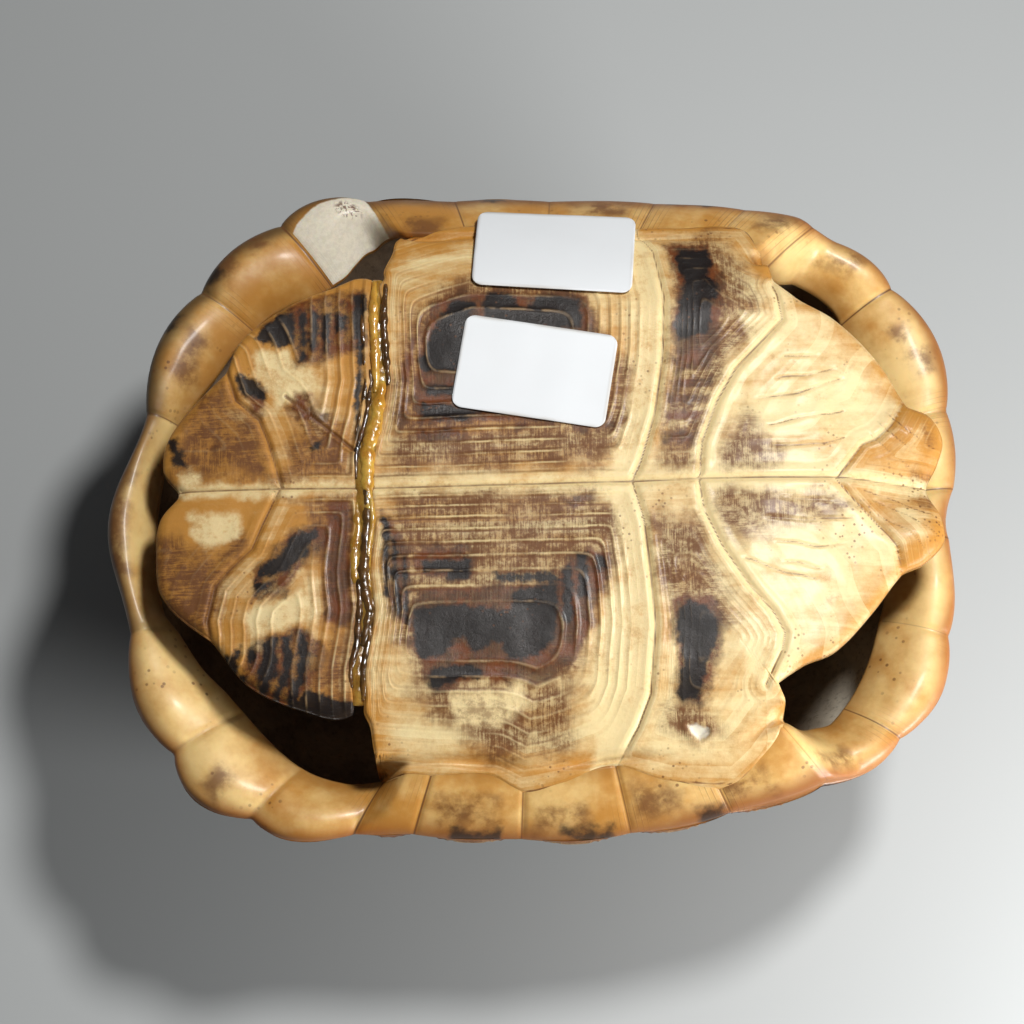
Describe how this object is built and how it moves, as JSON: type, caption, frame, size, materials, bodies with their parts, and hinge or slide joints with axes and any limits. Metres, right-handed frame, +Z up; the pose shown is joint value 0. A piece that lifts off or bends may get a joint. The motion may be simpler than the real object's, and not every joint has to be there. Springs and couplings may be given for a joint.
{
  "type": "tortoise shell",
  "caption": "Dried tortoise shell lying on its domed back, hollow inside, with a flat belly plate, a hinged hind lobe set in dried membrane, and blank paper labels.",
  "frame": {"origin": "on the surface that the shell rests on, under the middle of its outline", "axes": "+X along the shell to the head end, +Y to its side, +Z up out of the belly plate"},
  "size_m": [0.213, 0.1685, 0.1007],
  "materials": {
    "shell_horn": "Dry horn over bone, honey to dark brown, half glossy, with fine growth rings.",
    "lobe_horn": "Dry horn over bone, honey to dark brown, half glossy, with fine growth rings.",
    "hinge_membrane": "Dried membrane, amber, glossy and uneven.",
    "label_paper": "Matt white paper, a little grubby at its edges."
  },
  "bodies": {
    "root": {"shell": "shell_horn", "hind_lobe": "lobe_horn", "hinge_membrane": "hinge_membrane", "paper_label_far": "label_paper", "paper_label_middle": "label_paper"}
  },
  "joints": []
}
